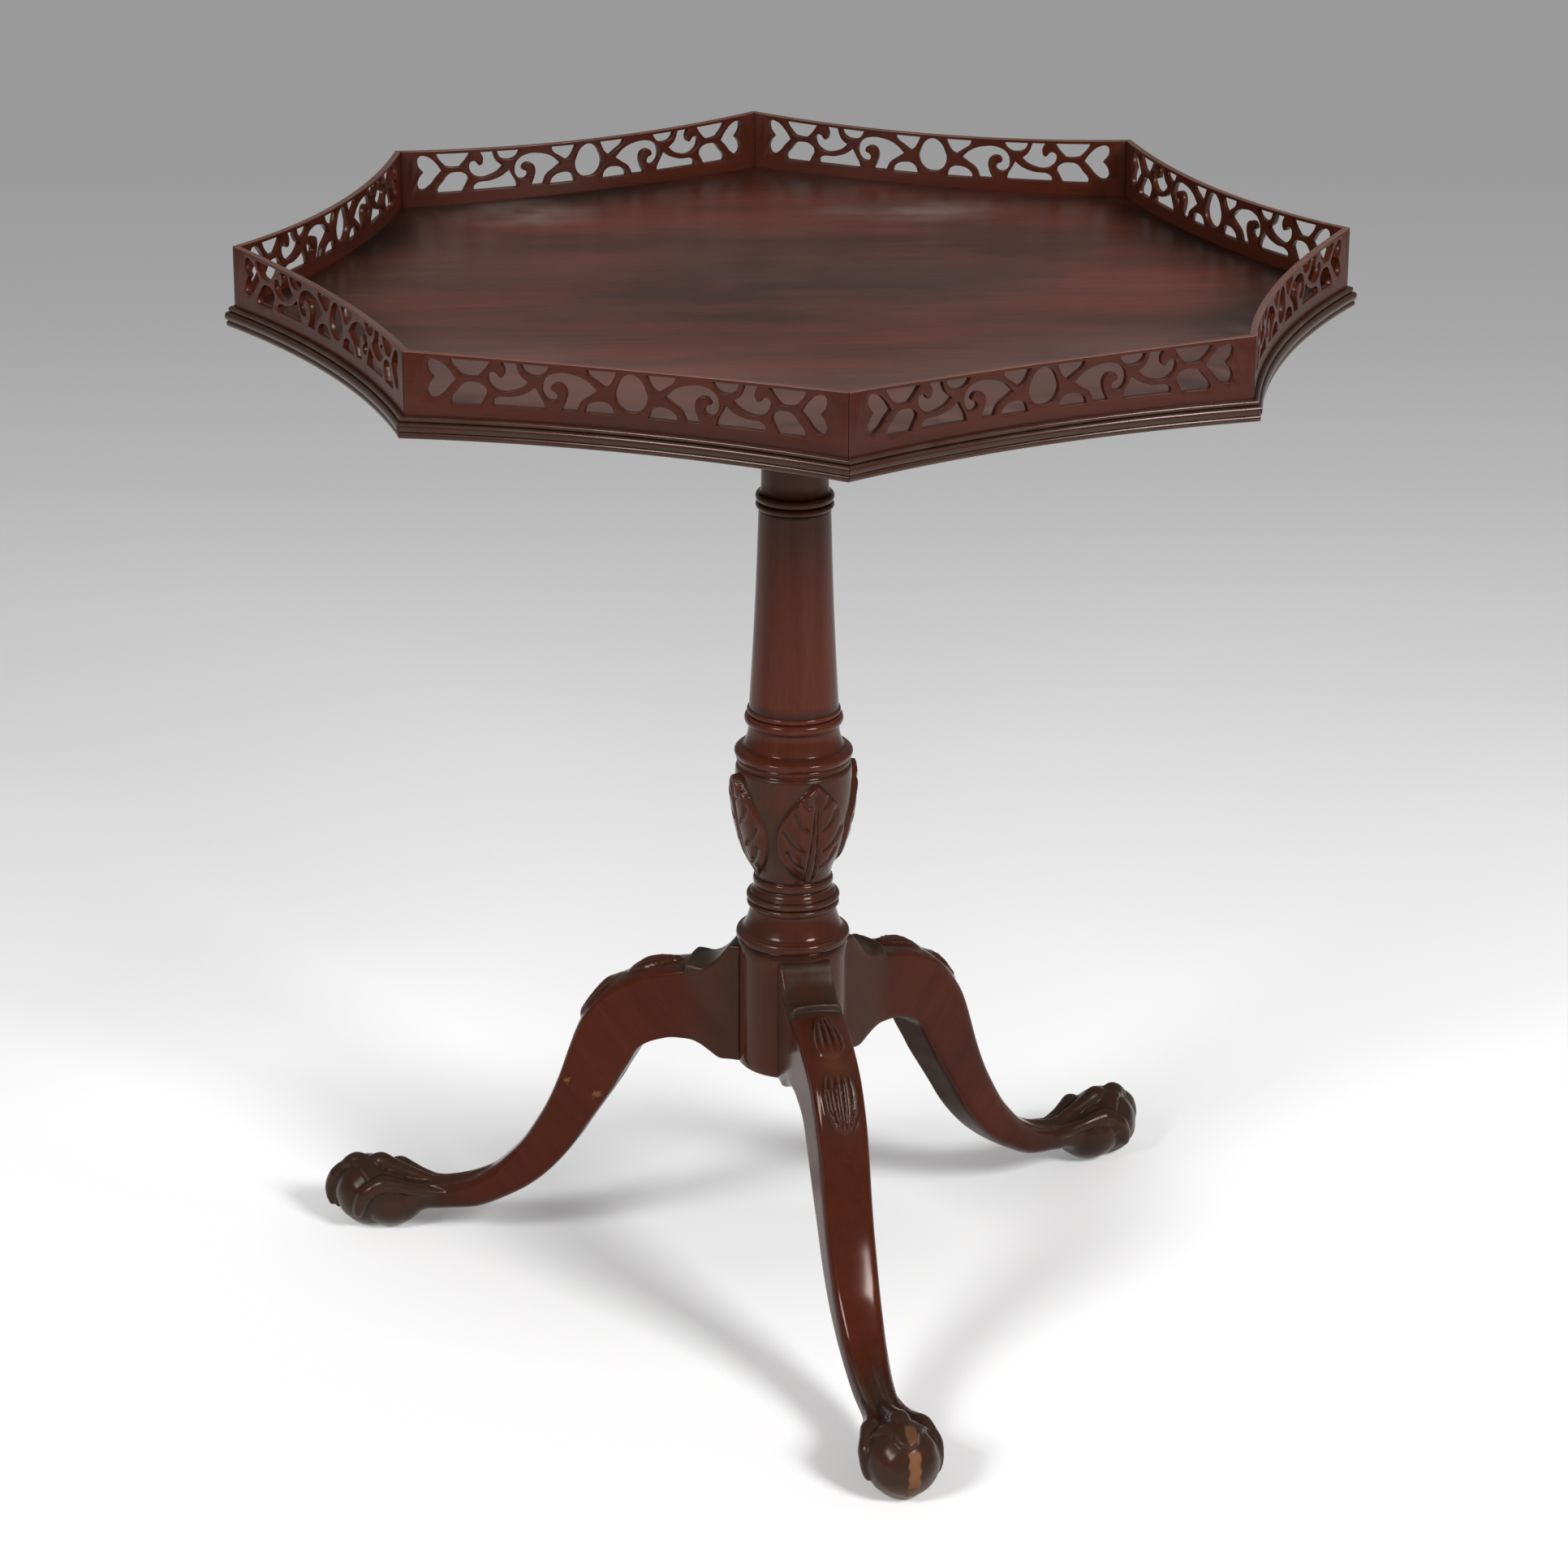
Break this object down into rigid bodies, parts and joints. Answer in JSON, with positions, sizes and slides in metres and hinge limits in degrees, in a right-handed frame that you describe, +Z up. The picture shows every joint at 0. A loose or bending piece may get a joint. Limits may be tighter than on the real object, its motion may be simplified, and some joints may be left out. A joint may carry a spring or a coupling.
{
  "type": "tilt-top tea table",
  "caption": "Mahogany tripod tea table: hollow-sided octagonal top with a pierced fret gallery, tilting on a turned pillar with carved cabriole legs and claw-and-ball feet.",
  "frame": {"origin": "on the floor, on the pillar's axis", "axes": "+Z up; the corners of the top lie on X and Y; the top's pins run along X on the +Y side, so its -Y edge lifts"},
  "size_m": [0.715, 0.715, 0.724],
  "materials": {
    "mahogany": "french-polished dark red mahogany, worn lighter at the edges",
    "mahogany_top": "french-polished figured mahogany with dark mottled streaks",
    "blackened_iron": "dark iron",
    "aged_brass": "dull aged brass"
  },
  "bodies": {
    "pedestal": {"pillar": "mahogany", "leg_front": "mahogany", "leg_right": "mahogany", "leg_left": "mahogany", "spider_plate": "blackened_iron", "spider_screw_1": "blackened_iron", "spider_screw_2": "blackened_iron", "spider_screw_3": "blackened_iron", "tilt_block": "mahogany", "tenon_wedge_1": "mahogany", "tenon_wedge_2": "mahogany", "strike_plate": "aged_brass", "strike_screw_1": "aged_brass", "strike_screw_2": "aged_brass"},
    "top": {"top_board": "mahogany_top", "gallery_panel_1": "mahogany", "gallery_panel_2": "mahogany", "gallery_panel_3": "mahogany", "gallery_panel_4": "mahogany", "gallery_panel_5": "mahogany", "gallery_panel_6": "mahogany", "gallery_panel_7": "mahogany", "gallery_panel_8": "mahogany", "edge_moulding_1": "mahogany", "edge_moulding_2": "mahogany", "edge_moulding_3": "mahogany", "edge_moulding_4": "mahogany", "edge_moulding_5": "mahogany", "edge_moulding_6": "mahogany", "edge_moulding_7": "mahogany", "edge_moulding_8": "mahogany", "batten_left": "mahogany", "batten_right": "mahogany", "batten_screw_1": "blackened_iron", "batten_screw_2": "blackened_iron", "batten_screw_3": "blackened_iron", "batten_screw_4": "blackened_iron", "batten_screw_5": "blackened_iron", "batten_screw_6": "blackened_iron", "catch_plate": "aged_brass", "catch_screw_1": "aged_brass", "catch_screw_2": "aged_brass", "catch_screw_3": "aged_brass", "catch_screw_4": "aged_brass"},
    "bolt": {"catch_bolt": "aged_brass"}
  },
  "joints": [
    {"name": "top_tilt", "type": "hinge", "parent": "pedestal", "child": "top", "pos_m": [0, 0.047, 0.6582], "axis": [-1, 0, 0], "range_deg": [0, 90]},
    {"name": "bolt_slide", "type": "slide", "parent": "top", "child": "bolt", "axis": [0, 1, 0], "range_m": [0, 0.01]}
  ]
}
